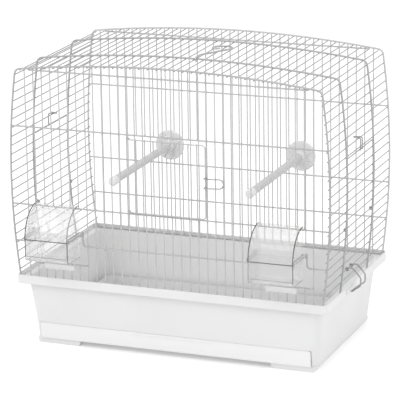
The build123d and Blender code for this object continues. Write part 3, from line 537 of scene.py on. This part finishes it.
def feeder_trim(side, sign):
    """The painted-shade edge lines of one feeder, as a piece of heavy lines and a piece of
    fine ones.
    """
    heavy = bmesh.new()
    fine = bmesh.new()
    for offset in (-FEEDER_HALF, FEEDER_HALF):
        feeder_side(heavy, fine, sign, offset)
    x = sign * FEEDER_X
    nose_y = FEEDER_FRONT_Y - NOSE_REACH
    nose = [at(x + end, nose_y, NOSE_Z) for end in (-FEEDER_HALF, FEEDER_HALF)]
    tube(heavy, nose, CUP_EDGE_RADIUS)
    line_y = FEEDER_FRONT_Y + CUP_LINE_INSET
    line = [at(x + end, line_y, CUP_LINE_Z) for end in (-CUP_LINE_HALF, CUP_LINE_HALF)]
    tube(fine, line, THIN_EDGE_RADIUS)
    body = f"{side}_feeder"
    finish_piece(heavy, f"{side}_feeder_edge_shade", CLEAR_EDGE_SHADE, body)
    finish_piece(fine, f"{side}_feeder_line_shade", CLEAR_LINE_SHADE, body)


feeder_trim("right", 1)
feeder_trim("left", -1)

# Floor, world and lights
FLOOR_HALF = 20.0
FLOOR_LIFT = 0.3
WORLD_LIGHT = 0.76
WORLD_WHITE = 1.0


def straight_look(tree):
    """1 for rays that the camera, a gloss or a clear part sends out, and 0 for others."""
    path = tree.nodes.new("ShaderNodeLightPath")
    seen = path.outputs["Is Camera Ray"]
    for name in ("Is Transmission Ray", "Is Glossy Ray"):
        either = tree.nodes.new("ShaderNodeMath")
        either.operation = "MAXIMUM"
        tree.links.new(seen, either.inputs[0])
        tree.links.new(path.outputs[name], either.inputs[1])
        seen = either.outputs[0]
    return seen


def make_floor():
    """A plain pale floor, lifted to white where it is looked at."""
    mat, tree, shader = new_material("floor")
    vary(tree, shader, "Base Color", noise(tree, 0.8, detail=2), 0.9, 0.92)
    shader.inputs["Roughness"].default_value = 0.85
    shader.inputs["Specular IOR Level"].default_value = 0.1
    lift = tree.nodes.new("ShaderNodeMath")
    lift.operation = "MULTIPLY"
    lift.inputs[1].default_value = FLOOR_LIFT
    tree.links.new(straight_look(tree), lift.inputs[0])
    tree.links.new(lift.outputs[0], shader.inputs["Emission Strength"])
    shader.inputs["Emission Color"].default_value = (1, 1, 1, 1)
    bm = bmesh.new()
    bmesh.ops.create_grid(bm, x_segments=2, y_segments=2, size=FLOOR_HALF)
    mesh = bpy.data.meshes.new("floor")
    bm.to_mesh(mesh)
    bm.free()
    mesh.materials.append(mat)
    floor = bpy.data.objects.new("floor", mesh)
    bpy.context.scene.collection.objects.link(floor)


def white_light(tree, strength):
    """A white background light of a strength."""
    node = tree.nodes.new("ShaderNodeBackground")
    node.inputs["Color"].default_value = (1, 1, 1, 1)
    node.inputs["Strength"].default_value = strength
    return node.outputs[0]


def make_world():
    """A studio that lights softly and is white where it is looked at."""
    world = bpy.data.worlds.new("studio")
    bpy.context.scene.world = world
    world.use_nodes = True
    tree = world.node_tree
    tree.nodes.clear()
    blend = tree.nodes.new("ShaderNodeMixShader")
    out = tree.nodes.new("ShaderNodeOutputWorld")
    tree.links.new(straight_look(tree), blend.inputs["Fac"])
    tree.links.new(white_light(tree, WORLD_LIGHT), blend.inputs[1])
    tree.links.new(white_light(tree, WORLD_WHITE), blend.inputs[2])
    tree.links.new(blend.outputs[0], out.inputs["Surface"])


def area_light(name, place, height, size, power):
    """A square soft box that faces the middle of the cage at a height."""
    data = bpy.data.lights.new(name, "AREA")
    data.shape = "SQUARE"
    data.size = size
    data.energy = power
    lamp = bpy.data.objects.new(name, data)
    lamp.location = place
    aim = Vector((0, 0, height)) - Vector(place)
    lamp.rotation_euler = aim.to_track_quat("-Z", "Y").to_euler()
    bpy.context.scene.collection.objects.link(lamp)


make_floor()
make_world()
area_light("key", (-1.0, -2.3, 2.4), height=0.15, size=1.6, power=23)
area_light("fill", (2.4, -0.6, 1.6), height=0.15, size=1.4, power=8)
area_light("top", (0.2, 0.4, 2.8), height=0.1, size=2.2, power=11)

# Camera: fitted to the photograph. Its place is in millimetres in the cage's own frame.
CAMERA = (1142.835, -2934.537, 966.747)
YAW = math.radians(21.3475)
PITCH_DOWN = math.radians(15.6718)
ROLL = math.radians(-0.8379)
FOCAL_PX = 2573.43
IMAGE_PX = 400
SENSOR_MM = 36
FAR_CLIP = 100

level = Vector((math.cos(YAW), math.sin(YAW), 0))
ahead_x = -math.sin(YAW) * math.cos(PITCH_DOWN)
ahead_y = math.cos(YAW) * math.cos(PITCH_DOWN)
ahead = Vector((ahead_x, ahead_y, -math.sin(PITCH_DOWN)))
upward = level.cross(ahead)
right = math.cos(ROLL) * level + math.sin(ROLL) * upward
up = -math.sin(ROLL) * level + math.cos(ROLL) * upward
camera_data = bpy.data.cameras.new("camera")
camera_data.sensor_width = SENSOR_MM
camera_data.lens = FOCAL_PX * SENSOR_MM / IMAGE_PX
camera_data.clip_end = FAR_CLIP
camera = bpy.data.objects.new("camera", camera_data)
turn = Matrix((right, up, -ahead)).transposed().to_4x4()
camera.matrix_world = Matrix.Translation(at(*CAMERA)) @ turn
bpy.context.scene.collection.objects.link(camera)
bpy.context.scene.camera = camera
bpy.context.scene.view_settings.view_transform = "Standard"
